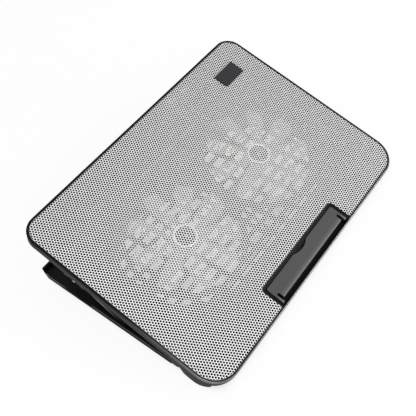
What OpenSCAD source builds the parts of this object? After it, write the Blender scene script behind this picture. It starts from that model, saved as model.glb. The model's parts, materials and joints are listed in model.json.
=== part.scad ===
// Laptop cooling pad: a perforated deck with two fans, tilted up from a flat base on folding props

/* [Deck] */
// Width of the deck, left to right
deck_w = 365; // [300:1:440]
// Depth of the deck, front to back
deck_d = 262; // [218:1:316]
// Height of the deck's side wall
deck_h = 11.6; // [10.6:0.1:14]
// Radius of the deck's corners, seen from above
corner_r = 30; // [24:1:36]
// Thickness of the moulded walls
wall = 2.4; // [2:0.1:2.9]
// Width of the rim round the perforated panel
rim_w = 3; // [2.5:0.1:3.6]
// Rounding along the top edge of the rim
rim_round = 1.4; // [1:0.1:1.8]
// Angle that the deck is raised to above the base
deck_tilt = 17; // [10:0.5:18]

/* [Panel] */
// Thickness of the perforated steel panel
panel_t = 0.8; // [0.6:0.1:1]
// Depth of the panel's top below the rim
panel_sink = 0.5; // [0.3:0.1:0.8]
// Spacing of the holes along a row
hole_pitch = 12.22; // [11:0.01:18]
// Spacing of the staggered rows
row_pitch = 10.14; // [10:0.02:16]
// Diameter of a hole
hole_d = 9.1; // [6:0.1:9.3]
// Width of the shelf under the panel's edge
shelf_w = 5; // [4:0.1:6]
// Thickness of the shelf under the panel's edge
shelf_t = 1.5; // [1.2:0.1:2]

/* [Stopper] */
// Length of the flip-up stopper
flap_w = 130; // [100:1:156]
// Depth of the stopper from the front of its arms to its rear edge
flap_d = 23.2; // [19.3:0.05:29]
// Thickness of the stopper's plate
flap_t = 4.4; // [3.6:0.1:4.8]
// Radius of the stopper's arms, which turn on two pins
arm_r = 3; // [2.6:0.1:3.2]
// Angle that the stopper flips up to
flap_open = 95; // [80:1:100]
// Width of the sloping border round the stopper
border_w = 4; // [3:0.1:5]

/* [Fans] */
// Distance of each fan from the deck's middle
fan_x = 70; // [69:0.5:76]
// Radius of the blade tips
fan_r = 62; // [50:0.5:62]
// Radius of a fan's hub
hub_r = 14; // [13:0.5:16]
// Number of blades on a fan
blade_n = 9; // [5:1:11]
// Depth of the fan pods below the deck
pod_drop = 5; // [4.4:0.1:5.4]

/* [Base] */
// Height of the base's side rails
base_h = 7.6; // [7:0.1:9.2]
// Thickness of the base's floor
base_floor = 2; // [1.6:0.1:2.2]
// Distance of the tilt hinge behind the deck's front edge
hinge_setback = 53; // [50:0.5:60]
// Distance that the deck overhangs the base at the rear
rear_overhang = 16.7; // [12:0.1:20]
// Length of the props, and of their pivots from the hinge
prop_l = 70; // [58:0.05:72]
// Length of the full-height side rails behind the hinge
rail_l = 117; // [98:0.5:118]

/* [Hidden] */
$fn = 64;
eps = 0.01;
fit = 0.05;
slack = 0.3;
seam = 0.4;

ABS_BLACK = [0.09, 0.09, 0.1];
ABS_GREY = [0.3, 0.3, 0.31];
ABS_PALE = [0.5, 0.5, 0.51];
SILVER = [0.8, 0.8, 0.82];
SMOKE = [0.12, 0.12, 0.13];
STEEL = [0.7, 0.7, 0.72];
BRASS = [0.78, 0.62, 0.3];
RUBBER = [0.06, 0.06, 0.06];
COPPER = [0.72, 0.42, 0.2];
BOARD = [0.05, 0.3, 0.15];
LAMP = [0.9, 0.95, 1];

// Heights in the deck's own frame, with the rim's top at zero
panel_bottom = -panel_sink - panel_t;
shelf_bottom = panel_bottom - shelf_t;
cover_t = 1.8;
cover_top = -deck_h + cover_t;
pod_floor_t = 1.6;
pod_bottom = -deck_h - pod_drop;
pod_floor = pod_bottom + pod_floor_t;

// Tilt hinge, in the deck's own frame
hinge_y = -deck_d / 2 + hinge_setback;
hinge_z = -deck_h - seam - base_h / 2;
hinge_pin_r = 2;
eye_r = base_h / 2;

// Panel and the stopper's bay
panel_gap = 0.2;
panel_w = deck_w - 2 * rim_w - 2 * panel_gap;
panel_d = deck_d - 2 * rim_w - 2 * panel_gap;
panel_r = corner_r - rim_w - panel_gap;
flap_gap = 0.6;
flap_sink = 0.4;
arm_lead = 3.8;
arm_w = 2.4;
plate_lead = 0.8;
flap_axis_y = -deck_d / 2 + arm_lead + arm_r;
flap_axis_z = -flap_sink - arm_r;
flap_rear_y = flap_axis_y - arm_r + flap_d;
flap_front_y = flap_axis_y + plate_lead;
flap_edge_r = 2;
flap_slot_l = 8;
flap_slot_w = 3.6;
flap_pin_r = 1;
flap_pin_l = 3;
pocket_w = flap_w + 2 * flap_gap;
pocket_rear_y = flap_rear_y + flap_gap;
pocket_floor = flap_axis_z - arm_r - flap_gap;
bay_floor_t = 1.6;
bay_bottom = pocket_floor - bay_floor_t;
bay_w = pocket_w + 2 * border_w;
bay_rear_y = pocket_rear_y + border_w;
bay_r = 5;
bevel_drop = 1.4;
bevel_slope = bevel_drop / border_w;
notch_w = 26;
notch_deep = 3.5;
notch_r = (notch_w * notch_w / 4 + notch_deep * notch_deep) / (2 * notch_deep);
notch_front_y = flap_rear_y - notch_deep;

// Fans
fan_y = -1;
pod_r = fan_r + 4;
pod_wall = 1.6;
duct_top = shelf_bottom - 0.4;
blade_t = 1.2;
blade_low = pod_floor + 2;
hub_top = panel_bottom - 4.9;
blade_top = panel_bottom - 3;
camber_in = 5;
camber_out = 32;
camber_r = (blade_top - blade_low - blade_t) / (cos(camber_in) - cos(camber_out));
half_chord = camber_r * (sin(camber_out) - sin(camber_in)) / 2;
shaft_r = 1.5;
bearing_r = 3;
cup_t = 1.4;
magnet_t = 2;
air_gap = 1;
seat_r = 17;
grille_bar = 2;
grille_gap = 5.8;
spoke_w = 4;
spoke_n = 6;
lamp_n = 4;
lamp_r = 1.5;

// Base, props and racks
base_w = deck_w + 0.5;
base_l = deck_d - hinge_setback - rear_overhang;
rail_w = 3;
taper_l = 11;
taper_w = 3;
ledge = 0.6;
edge_chamfer = 0.4;
eye_w = 5.4;
knuckle_gap = 0.4;
knuckle_w = 10;
knuckle_neck = 4;
floor_front = 6;
prop_w = 4.5;
prop_h = 4.4;
prop_out = base_w / 2 - rail_w - 0.4;
knob_r = 1.5;
knob_gap = 0.4;
prop_pin_r = 1.2;
cheek_w = 3.4;
cheek_gap = 0.4;
rack_out = deck_w / 2 - 0.3;
rack_t = -hinge_z - deck_h - prop_h / 2 - knob_gap;
land_drop = -hinge_z - deck_h - knob_r - slack;
rack_in = deck_w / 2 - 19;
tooth_w = 5;
tooth_drop = 4.4;
rack_front = 2 * prop_l * cos(deck_tilt) - knob_r - slack;
rack_rear = 2 * prop_l + knob_r + slack;
tooth_set = 6.5;
tooth_in = prop_out + 0.4;
stop_in = 1.4;

// Front feet: rockers under the deck's front corners, which touch the desk at any tilt
rocker_r = 60;
rocker_back = 33;
skirt_drop = 10.4;
skirt_w = 10;
skirt_overlap = 2.6;
rocker_y = -deck_d / 2 + rocker_back;
rocker_z = -deck_h - skirt_drop + rocker_r;
pad_proud = 0.7;
pad_sunk = 0.9;
pad_w = 4;
pad_in = 5.5;
pad_from = 8;
pad_to = 18.3;

// Where the hinge stands above the desk, and the height left for the rear feet
hinge_up = rocker_r + pad_proud - (rocker_y - hinge_y) * sin(deck_tilt) - (rocker_z - hinge_z) * cos(deck_tilt);
foot_h = hinge_up - base_h / 2;
foot_r = 9;
foot_in_x = 26;
foot_in_y = 14;
foot_recess = 0.6;

// The origin lies under the middle of the whole pad
reach_front = (-hinge_setback + rim_round) * cos(deck_tilt) + (hinge_z + rim_round) * sin(deck_tilt) - rim_round;
reach_rear = (deck_d - hinge_setback) * cos(deck_tilt) + (hinge_z + deck_h) * sin(deck_tilt);
hinge_row_y = -(reach_front + reach_rear) / 2;

// Rear sockets and switch
board_l = 84;
board_d = 20;
board_t = 1;
board_x = 80;
board_y = deck_d / 2 - wall - board_d / 2 - 1.2;
board_top = cover_top + board_t;
usb_w = 13.1;
usb_h = 5.7;
usb_l = 14;
usb_wall = 0.4;
usb_x = [56, 80];
usb_tongue = 1.8;
switch_x = 106;
switch_w = 12;
switch_h = 5;
switch_l = 6;
slider_w = 4;
slider_h = 3;
slider_out = 1.2;
slider_travel = 3;

// Screws
boss_r = 3;
boss_in = 6.4;
pilot_r = 1.1;
screw_r = 1.1;
screw_head_r = 2.4;
screw_head_h = 1.2;
screw_hole_r = 1.4;
cross_l = 2.8;
cross_w = 0.8;
cross_deep = 0.7;
rack_screw_l = 3.4;
seat_screw_r = 13.6;

// Puts a piece of the base in its place, with the tilt hinge at the piece's own origin
module on_base() {
  translate([0, hinge_row_y, hinge_up]) children();
}

// Puts a piece of the deck in its place, tilted about the hinge
module on_deck() {
  on_base() rotate([deck_tilt, 0, 0]) translate([0, -hinge_y, -hinge_z]) children();
}

// A piece and its mirror image on the other side
module both_sides() {
  for (side = [-1, 1]) scale([side, 1, 1]) children();
}

// Rectangle with round corners, centred
module round_rect(w, d, r) {
  square([w - 2 * r, d], center = true);
  square([w, d - 2 * r], center = true);
  for (x = [-1, 1], y = [-1, 1]) translate([x * (w / 2 - r), y * (d / 2 - r)]) circle(r);
}

// Straight slot with round ends, along x
module slot(l, w) {
  square([l - w, w], center = true);
  for (x = [-1, 1]) translate([x * (l - w) / 2, 0]) circle(w / 2);
}

// Bar along x from x0 to x1, with the child as its section in y and z
module along_x(x0, x1) {
  translate([x0, 0, 0]) rotate([90, 0, 90]) linear_extrude(x1 - x0) children();
}

// Carries a section round the deck: its x is the distance from a corner's centre, its y is height
module round_the_deck() {
  run_x = deck_w - 2 * corner_r;
  run_y = deck_d - 2 * corner_r;
  for (turn = [0, 180]) rotate([0, 0, turn]) {
    translate([run_x / 2, 0, 0]) rotate([90, 0, 0]) linear_extrude(run_y, center = true) children();
    translate([0, run_y / 2, 0]) rotate([90, 0, 90]) linear_extrude(run_x, center = true) children();
    translate([run_x / 2, run_y / 2, 0]) rotate_extrude(angle = 90) children();
    translate([-run_x / 2, run_y / 2, 0]) rotate([0, 0, 90]) rotate_extrude(angle = 90) children();
  }
}

// Section of the deck's wall, with its rounded rim and the shelf that carries the panel
module wall_section() {
  translate([corner_r - wall, -deck_h]) square([wall, deck_h - rim_round]);
  translate([corner_r - rim_w, shelf_bottom]) square([rim_w - rim_round, -shelf_bottom]);
  translate([corner_r - rim_w - shelf_w, shelf_bottom]) square([shelf_w + rim_w - wall / 2, shelf_t]);
  translate([corner_r - rim_round, -rim_round]) circle(rim_round);
}

// Places of the screws that hold the cover, all round the deck
function boss_places() = [
  for (x = [-1, 0, 1], y = [-1, 1])
    if (!(x == 0 && y == -1)) [x * (deck_w / 2 - corner_r - boss_in), y * (deck_d / 2 - boss_in)],
  for (x = [-1, 1]) [x * (deck_w / 2 - boss_in), 0]
];

// Front foot's outline from the side: a rocker between two raked ends
module skirt_outline(grow = 0) {
  rear_top = hinge_y - 2.5;
  rake = 12.5;
  low = -deck_h - skirt_drop - skirt_overlap;
  front_top = rocker_y - 20.5;
  front_rake = 2;
  intersection() {
    translate([rocker_y, rocker_z]) circle(rocker_r, $fn = 128);
    polygon([
      [rear_top + grow, cover_top + 1 + grow], [rear_top + grow, -deck_h], [rear_top - rake + grow, low],
      [front_top + front_rake - grow, low], [front_top - grow, -deck_h], [front_top - grow, cover_top + 1 + grow]
    ]);
  }
}

// The two front feet, as thick as skirt_w inside the deck's outline
module skirts(grow = 0) {
  intersection() {
    translate([0, 0, -deck_h - skirt_drop - 1]) linear_extrude(deck_h + skirt_drop) difference() {
      round_rect(deck_w, deck_d, corner_r);
      round_rect(deck_w - 2 * skirt_w - 2 * grow, deck_d - 2 * skirt_w - 2 * grow, corner_r - skirt_w - grow);
    }
    union() both_sides() along_x(deck_w / 2 - corner_r, deck_w / 2 + 1) skirt_outline(grow);
  }
}

// Strip of a front foot that its rubber pad fills
module pad_section(grow = 0) {
  translate([rocker_y, rocker_z]) intersection() {
    difference() {
      circle(rocker_r + pad_proud, $fn = 128);
      circle(rocker_r - pad_sunk - grow, $fn = 128);
    }
    polygon([
      [0, 0],
      2 * rocker_r * [-sin(pad_from - grow), -cos(pad_from - grow)],
      2 * rocker_r * [-sin(pad_to + grow), -cos(pad_to + grow)]
    ]);
  }
}

// Stopper's bay: a floor and a border on three sides that slopes down to the pocket
module bay() {
  rear_section = [
    [pocket_rear_y, bay_bottom], [pocket_rear_y, -bevel_drop], [bay_rear_y, 0], [bay_rear_y, bay_bottom]
  ];
  side_section = [
    [pocket_w / 2, bay_bottom], [pocket_w / 2, -bevel_drop], [bay_w / 2, 0], [bay_w / 2, bay_bottom]
  ];
  front = -deck_d / 2 + rim_round;
  intersection() {
    union() {
      along_x(-bay_w / 2, bay_w / 2) polygon(rear_section);
      both_sides() translate([0, bay_rear_y, 0]) rotate([90, 0, 0])
        linear_extrude(bay_rear_y - front) polygon(side_section);
      translate([-bay_w / 2, front, bay_bottom]) cube([bay_w, bay_rear_y - front, bay_floor_t]);
    }
    translate([0, front, bay_bottom]) linear_extrude(-bay_bottom) bay_outline(bay_w, bay_rear_y - front);
  }
  thumb_scoop();
}

// The border's slope carried on into the stopper's notch, for a thumb to slide down
module thumb_scoop() intersection() {
  root_y = pocket_rear_y + border_w / 4;
  along_x(-notch_w / 2, notch_w / 2) polygon([
    [root_y, bay_bottom], [root_y, (root_y - bay_rear_y) * bevel_slope],
    [notch_front_y, (notch_front_y - bay_rear_y) * bevel_slope], [notch_front_y, bay_bottom]
  ]);
  translate([0, notch_front_y + notch_r, bay_bottom]) cylinder(r = notch_r - flap_gap, h = -bay_bottom, $fn = 128);
}

// Outline of the bay from above: square at the front, round at the two rear corners
module bay_outline(w, d) {
  translate([0, (d - bay_r) / 2]) square([w, d - bay_r], center = true);
  translate([0, d - bay_r / 2]) square([w - 2 * bay_r, bay_r], center = true);
  for (x = [-1, 1]) translate([x * (w / 2 - bay_r), d - bay_r]) circle(bay_r);
}

// Windows in the rear wall for the sockets and the switch's slider
module rear_windows() {
  deep = usb_l;
  for (x = usb_x) translate([x - usb_w / 2 - slack, deck_d / 2 - deep, board_top - slack])
    cube([usb_w + 2 * slack, deep + 1, usb_h + 2 * slack]);
  translate([switch_x - slider_w / 2 - slack, deck_d / 2 - wall - 1, switch_mid - slider_h / 2 - slack])
    cube([slider_w + slider_travel + 2 * slack, wall + 2, slider_h + 2 * slack]);
}
switch_mid = board_top + switch_h / 2;

// Moulded upper frame: rim, walls, panel shelf, stopper's bay, front feet and screw bosses
module top_frame() color(ABS_BLACK) on_deck() difference() {
  union() {
    difference() {
      round_the_deck() wall_section();
      translate([-bay_w / 2 + eps, -deck_d / 2 + wall, bay_bottom])
        cube([bay_w - 2 * eps, border_w * 4, -bay_bottom + 1]);
    }
    bay();
    skirts();
    for (p = boss_places()) translate([p[0], p[1], cover_top])
      cylinder(r = boss_r, h = shelf_bottom + shelf_t / 2 - cover_top);
  }
  both_sides() along_x(pocket_w / 2 - 1, pocket_w / 2 + flap_pin_l) translate([flap_axis_y, flap_axis_z])
    circle(flap_pin_r);
  both_sides() along_x(deck_w / 2 - pad_in - pad_w - fit, deck_w / 2 - pad_in + fit) pad_section(fit);
  for (p = boss_places()) translate([p[0], p[1], cover_top - eps]) cylinder(r = pilot_r, h = 5);
  rear_windows();
}

// Panel's outline, notched round the stopper's bay
module panel_outline() {
  nose = 4.5;
  cut_w = bay_w + 2 * panel_gap;
  cut_front = -panel_d / 2;
  cut_d = bay_rear_y + panel_gap - cut_front;
  difference() {
    round_rect(panel_w, panel_d, panel_r);
    translate([0, cut_front]) bay_outline(cut_w, cut_d);
    translate([0, cut_front - 1]) square([cut_w, 4], center = true);
    for (x = [-1, 1]) translate([x * (cut_w / 2 + nose), cut_front + nose]) difference() {
      translate([x > 0 ? -nose - 1 : 0, -nose - 1]) square(nose + 1);
      circle(nose);
    }
  }
}

// True where a hole of the panel lies clear inside the outline
function hole_fits(x, y) =
  let (keep = hole_d / 2 + 1)
  let (cx = max(abs(x) - panel_w / 2 + panel_r, 0), cy = max(abs(y) - panel_d / 2 + panel_r, 0))
  norm([cx, cy]) < panel_r - keep
  && !(abs(x) < bay_w / 2 + keep && y < bay_rear_y + keep);

// Perforated panel, made row by row: each strip holds one row of staggered holes
module mesh_panel() color(SILVER) on_deck() translate([0, 0, panel_bottom]) {
  rows = floor(panel_d / row_pitch / 2);
  cols = ceil(panel_w / hole_pitch / 2);
  for (j = [-rows - 1 : rows + 1]) linear_extrude(panel_t) difference() {
    intersection() {
      panel_outline();
      translate([0, j * row_pitch]) square([panel_w + 1, row_pitch], center = true);
    }
    for (i = [-cols : cols])
      let (x = (i + (j % 2 == 0 ? 0 : 0.5)) * hole_pitch)
      if (hole_fits(x, j * row_pitch)) translate([x, j * row_pitch]) circle(hole_d / 2);
  }
}

// Bare plate on the panel near its back right corner
module badge_plate() color(ABS_BLACK) on_deck() {
  plate = [35, 20];
  translate([134.5, 92, -panel_sink]) {
    linear_extrude(0.8) round_rect(plate[0], plate[1], 1.2);
    translate([0, 0, 0.8]) linear_extrude(0.3) round_rect(plate[0] - 1, plate[1] - 1, 1);
  }
}

// One air grille, flat: rings between the motor's seat and the pod's wall, crossed by spokes
module grille() {
  ring = grille_gap + grille_bar;
  difference() {
    circle(pod_r + pod_wall);
    difference() {
      for (r = [seat_r + grille_gap : ring : pod_r - 1]) difference() {
        circle(r);
        circle(r - grille_gap);
      }
      for (k = [0 : spoke_n - 1]) rotate(90 + k * 360 / spoke_n) translate([0, -spoke_w / 2])
        square([pod_r, spoke_w]);
    }
  }
}

// One fan pod: a drum with a duct above the cover and a grille for a floor
module pod() {
  translate([0, 0, pod_bottom]) linear_extrude(pod_floor_t) grille();
  difference() {
    translate([0, 0, pod_bottom]) cylinder(r = pod_r + pod_wall, h = duct_top - pod_bottom, $fn = 128);
    translate([0, 0, pod_bottom - 1]) cylinder(r = pod_r, h = duct_top - pod_bottom + 2, $fn = 128);
    for (k = [0 : lamp_n - 1]) rotate(45 + k * 360 / lamp_n) translate([pod_r - 1, 0, lamp_z]) rotate([0, 90, 0])
      cylinder(r = lamp_r, h = pod_wall + 2);
    translate([0, pod_r - 1, lead_z]) rotate([-90, 0, 0]) cylinder(r = lead_r + slack, h = pod_wall + 2);
  }
}
lamp_z = (duct_top + cover_top) / 2;
lead_r = 0.6;
lead_z = cover_top + lead_r + slack;

// Lower cover: a plate with the two fan pods, the hinge knuckles and the screw holes
module bottom_cover() color(ABS_BLACK) on_deck() difference() {
  edge = 2 * (wall + slack);
  union() {
    difference() {
      translate([0, 0, -deck_h]) linear_extrude(cover_t) difference() {
        round_rect(deck_w - edge, deck_d - edge, corner_r - wall - slack);
        for (x = [-1, 1]) translate([x * fan_x, fan_y]) circle(pod_r + pod_wall / 2, $fn = 128);
      }
      skirts(slack);
    }
    for (x = [-1, 1]) translate([x * fan_x, fan_y, 0]) pod();
    both_sides() along_x(knuckle_out - knuckle_w, knuckle_out) {
      translate([hinge_y, hinge_z]) circle(eye_r);
      translate([hinge_y - knuckle_neck / 2, hinge_z]) square([knuckle_neck, -deck_h - hinge_z + eps]);
    }
  }
  both_sides() along_x(knuckle_out - knuckle_w + 1, knuckle_out + 1) translate([hinge_y, hinge_z]) circle(hinge_pin_r);
  for (p = boss_places()) translate([p[0], p[1], -deck_h - 1]) cylinder(r = screw_hole_r, h = cover_t + 2);
  for (p = rack_screw_places()) translate([p[0], p[1], -deck_h - 1]) cylinder(r = pilot_r, h = cover_t + 2);
}
knuckle_out = base_w / 2 - eye_w - knuckle_gap;

// Pan-head screw that points up from its seat, with a cross cut in its head
module screw(l) difference() {
  union() {
    cylinder(r = screw_r, h = l);
    translate([0, 0, -screw_head_h]) cylinder(r = screw_head_r, h = screw_head_h);
  }
  for (turn = [0, 90]) rotate(turn) translate([-cross_l / 2, -cross_w / 2, -screw_head_h - 1])
    cube([cross_l, cross_w, cross_deep + 1]);
}

module cover_screws() color(STEEL) on_deck()
  for (p = boss_places()) translate([p[0], p[1], -deck_h]) screw(cover_t + 4.4);

// Flip-up stopper: a plate with a finger notch, between two arms that turn on pins
module stopper_flap() color(ABS_GREY) on_deck() difference() {
  union() {
    intersection() {
      translate([0, 0, flap_axis_z + arm_r - flap_t]) linear_extrude(flap_t) flap_outline();
      along_x(-flap_w / 2, flap_w / 2) flap_section();
    }
    both_sides() along_x(flap_w / 2 - arm_w, flap_w / 2) arm_section();
  }
  both_sides() along_x(flap_w / 2 - arm_w - 1, flap_w / 2 + 1) translate([flap_axis_y, flap_axis_z])
    circle(flap_pin_r + fit);
}

// Stopper's plate from the side, rounded along its front top edge
module flap_section() {
  top = flap_axis_z + arm_r;
  l = flap_rear_y - flap_front_y;
  translate([flap_front_y, top - flap_t]) square([l, flap_t - flap_edge_r]);
  translate([flap_front_y + flap_edge_r, top - flap_edge_r - eps]) square([l - flap_edge_r, flap_edge_r + eps]);
  translate([flap_front_y + flap_edge_r, top - flap_edge_r]) circle(flap_edge_r);
}

// One arm of the stopper from the side
module arm_section() {
  translate([flap_axis_y, flap_axis_z]) circle(arm_r);
  translate([flap_axis_y, flap_axis_z + arm_r - flap_t])
    square([flap_front_y + flap_slot_l + 1 - flap_axis_y, flap_t]);
}

// Stopper's plate from above: round rear corners, a notch behind and a slot beside each arm
module flap_outline() {
  rear_r = 2;
  l = flap_rear_y - flap_front_y;
  difference() {
    union() {
      translate([-flap_w / 2, flap_front_y]) square([flap_w, l - rear_r]);
      translate([-flap_w / 2 + rear_r, flap_front_y]) square([flap_w - 2 * rear_r, l]);
      for (x = [-1, 1]) translate([x * (flap_w / 2 - rear_r), flap_rear_y - rear_r]) circle(rear_r);
    }
    translate([0, notch_front_y + notch_r]) circle(notch_r, $fn = 128);
    for (x = [-1, 1]) translate([x * (flap_w / 2 - arm_w - flap_slot_w / 2), flap_front_y]) {
      square([flap_slot_w, 2 * (flap_slot_l - flap_slot_w / 2)], center = true);
      translate([0, flap_slot_l - flap_slot_w / 2]) circle(flap_slot_w / 2);
    }
  }
}

module stopper_pins() color(STEEL) on_deck()
  both_sides() along_x(flap_w / 2 - arm_w + 0.2, pocket_w / 2 + flap_pin_l - 0.2)
    translate([flap_axis_y, flap_axis_z]) circle(flap_pin_r);

// Puts a fan's piece on its own axis
module at_fan(side) {
  on_deck() translate([side * fan_x, fan_y, 0]) children();
}

// One blade, flat: a swept paddle between the hub and the tip circle
module blade_plan() {
  root = hub_r - cup_t / 2;
  intersection() {
    difference() {
      circle(fan_r, $fn = 128);
      circle(root);
    }
    polygon([
      [root / 2, -half_chord / 3], [fan_r * 0.55, -half_chord * 0.86], [fan_r + 1, -half_chord],
      [fan_r + 1, half_chord * 0.8], [fan_r * 0.8, half_chord], [root / 2, half_chord / 3]
    ]);
  }
}

// Cambered blades: slices of a thin tube that lies along the radius
module blades() {
  mid = camber_r * (sin(camber_in) + sin(camber_out)) / 2;
  top = blade_low + blade_t / 2 + camber_r * cos(camber_in);
  for (k = [0 : blade_n - 1]) rotate(k * 360 / blade_n) intersection() {
    translate([0, 0, blade_low - 1]) linear_extrude(blade_top - blade_low + 2) blade_plan();
    along_x(0, fan_r + 2) translate([-mid, top]) difference() {
      circle(camber_r + blade_t / 2, $fn = 128);
      circle(camber_r - blade_t / 2, $fn = 128);
    }
  }
}

// Fan rotor: a cup over the motor that carries the blades
module rotor() {
  cup_low = blade_low - 0.2;
  rotate_extrude() difference() {
    union() {
      translate([shaft_r, cup_low]) square([hub_r - shaft_r - 1, hub_top - cup_low]);
      translate([shaft_r, cup_low]) square([hub_r - shaft_r, hub_top - cup_low - 1]);
      translate([hub_r - 1, hub_top - 1]) circle(1);
    }
    translate([bearing_r + 0.6, cup_low - 1]) square([hub_r - cup_t - bearing_r - 0.6, hub_top - cup_t - cup_low + 1]);
    translate([0, cup_low - 1]) square([bearing_r + 0.7, hub_top - 2 * cup_t - cup_low + 1]);
  }
  blades();
}

module fan_rotor_left() color(SMOKE) at_fan(-1) rotor();
module fan_rotor_right() color(SMOKE) at_fan(1) rotor();

// Ring magnet inside the rotor's cup
module rotor_magnet() {
  low = blade_low;
  high = hub_top - cup_t;
  rotate_extrude() translate([hub_r - cup_t - magnet_t, low]) square([magnet_t, high - low]);
}

module rotor_magnet_left() color(RUBBER) at_fan(-1) rotor_magnet();
module rotor_magnet_right() color(RUBBER) at_fan(1) rotor_magnet();

// Steel shaft, pressed into the rotor's cup and running in the bearing
module fan_shaft() {
  translate([0, 0, pod_floor + 0.3]) cylinder(r = shaft_r, h = hub_top - 0.3 - pod_floor);
}

module fan_shaft_left() color(STEEL) at_fan(-1) fan_shaft();
module fan_shaft_right() color(STEEL) at_fan(1) fan_shaft();

// Sleeve bearing that stands on the pod's floor
module fan_bearing() {
  translate([0, 0, pod_floor]) difference() {
    cylinder(r = bearing_r, h = hub_top - 2 * cup_t - 0.4 - pod_floor);
    translate([0, 0, -1]) cylinder(r = shaft_r + fit, h = hub_top - pod_floor);
  }
}

module fan_bearing_left() color(BRASS) at_fan(-1) fan_bearing();
module fan_bearing_right() color(BRASS) at_fan(1) fan_bearing();

// Wound stator round the bearing, with four poles
module motor_stator() {
  pole_r = hub_r - cup_t - magnet_t - air_gap;
  stack = hub_top - 2 * cup_t - 1.2 - pod_floor;
  translate([0, 0, pod_floor]) linear_extrude(stack) difference() {
    circle(pole_r);
    circle(bearing_r);
    for (k = [0 : 3]) rotate(45 + k * 90) translate([bearing_r + 1.4, -0.7]) square([pole_r, 1.4]);
  }
}

module motor_stator_left() color(COPPER) at_fan(-1) motor_stator();
module motor_stator_right() color(COPPER) at_fan(1) motor_stator();

// Four lamps that shine into the fan through its duct
module fan_lamps() {
  for (k = [0 : lamp_n - 1]) rotate(45 + k * 360 / lamp_n) translate([pod_r, 0, lamp_z]) rotate([0, 90, 0]) {
    cylinder(r = lamp_r, h = pod_wall + 1.4);
    sphere(r = lamp_r);
    translate([0, 0, pod_wall]) cylinder(r = lamp_r + 0.5, h = 1);
  }
}

module fan_lamps_left() color(LAMP) at_fan(-1) fan_lamps();
module fan_lamps_right() color(LAMP) at_fan(1) fan_lamps();

// Wire through a list of points
module lead(points) {
  for (k = [0 : len(points) - 2]) {
    step = points[k + 1] - points[k];
    translate(points[k]) rotate([0, acos(step[2] / norm(step)), atan2(step[1], step[0])])
      cylinder(r = lead_r, h = norm(step), $fn = 24);
    if (k > 0) translate(points[k]) sphere(r = lead_r, $fn = 24);
  }
}

// Route of a fan's lead: from the board to the duct, down its wall and along a spoke to the motor
function lead_route(side) =
  let (y_out = fan_y + pod_r + 12)
  let (y_in = fan_y + pod_r - lead_r - 0.4)
  let (low = pod_floor + lead_r + 0.1)
  [
    [board_x - 20 + side * 8, board_y - board_d / 2 - 0.2, lead_z],
    [board_x - 20 + side * 8, y_out - side * 4, lead_z],
    [side * fan_x, y_out - side * 4, lead_z],
    [side * fan_x, y_in, lead_z],
    [side * fan_x, y_in, low],
    [side * fan_x, fan_y + hub_r - cup_t - magnet_t - air_gap + 0.2, low]
  ];

module fan_lead_left() color(RUBBER) on_deck() lead(lead_route(-1));
module fan_lead_right() color(RUBBER) on_deck() lead(lead_route(1));

// Circuit board behind the rear sockets
module circuit_board() color(BOARD) on_deck()
  translate([board_x - board_l / 2, board_y - board_d / 2, cover_top]) cube([board_l, board_d, board_t]);

// Two open socket shells with their tongues
module usb_sockets() color(STEEL) on_deck() for (x = usb_x)
  translate([x, deck_d / 2 - usb_l - 0.4, board_top]) {
    difference() {
      translate([-usb_w / 2, 0, 0]) cube([usb_w, usb_l, usb_h]);
      translate([-usb_w / 2 + usb_wall, 2, usb_wall]) cube([usb_w - 2 * usb_wall, usb_l, usb_h - 2 * usb_wall]);
    }
    translate([-usb_w / 2 + 1, 1, usb_h / 2]) cube([usb_w - 2, usb_l - 3, usb_tongue]);
  }

// Slide switch: a fixed body and a slider that comes out of the rear wall
module switch_body() color(RUBBER) on_deck()
  translate([switch_x - switch_w / 2 + slider_travel / 2, deck_d / 2 - wall - switch_l - 0.2, board_top])
    difference() {
      cube([switch_w, switch_l, switch_h]);
      translate([switch_w / 2 - slider_travel / 2 - slider_w / 2 - slack, switch_l - 3, switch_h / 2 - slider_h / 2 - slack])
        cube([slider_w + slider_travel + 2 * slack, 4, slider_h + 2 * slack]);
    }

module switch_slider() color(ABS_GREY) on_deck()
  translate([switch_x - slider_w / 2, deck_d / 2 - wall - 2.8, switch_mid - slider_h / 2])
    cube([slider_w, 2.8 + wall + slider_out, slider_h]);

// Places of the screws that hold the racks
function rack_screw_places() = [
  for (x = [-1, 1], y = [rack_front - tooth_set, rack_rear + tooth_set - 2]) [x * (rack_in + 4), hinge_y + y]
];

// Toothed rack under the deck's edge, which the knob of a prop runs along
module rack() {
  y0 = hinge_y + rack_front - 2 * tooth_set;
  y1 = hinge_y + rack_rear + tooth_set;
  difference() {
    translate([rack_in, y0, -deck_h - rack_t]) cube([rack_out - rack_in, y1 - y0, rack_t]);
    for (p = rack_screw_places()) translate([p[0], p[1], -deck_h - rack_t - 1]) cylinder(r = screw_hole_r, h = rack_t + 2);
  }
  along_x(tooth_in, rack_out) for (y = [rack_front - tooth_set - tooth_w, rack_rear])
    translate([hinge_y + y, -deck_h - tooth_drop]) square([tooth_w, tooth_drop - rack_t + eps]);
  along_x(tooth_in, rack_out) translate([hinge_y + rack_front - tooth_set, -deck_h - land_drop])
    square([rack_rear - rack_front + tooth_set + eps, land_drop - rack_t + eps]);
  along_x(tooth_in, rack_out - stop_in) translate([hinge_y + rack_front - tooth_set - eps, -deck_h - tooth_drop])
    square([tooth_set + eps, tooth_drop - rack_t + eps]);
}

module rack_left() color(ABS_BLACK) on_deck() scale([-1, 1, 1]) rack();
module rack_right() color(ABS_BLACK) on_deck() rack();

module rack_screws() color(STEEL) on_deck()
  for (p = rack_screw_places()) translate([p[0], p[1], -deck_h - rack_t]) screw(rack_screw_l);

// Rubber pads let into the front feet, which touch the desk
module front_pads() color(RUBBER) on_deck()
  both_sides() along_x(deck_w / 2 - pad_in - pad_w, deck_w / 2 - pad_in) pad_section();

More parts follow.
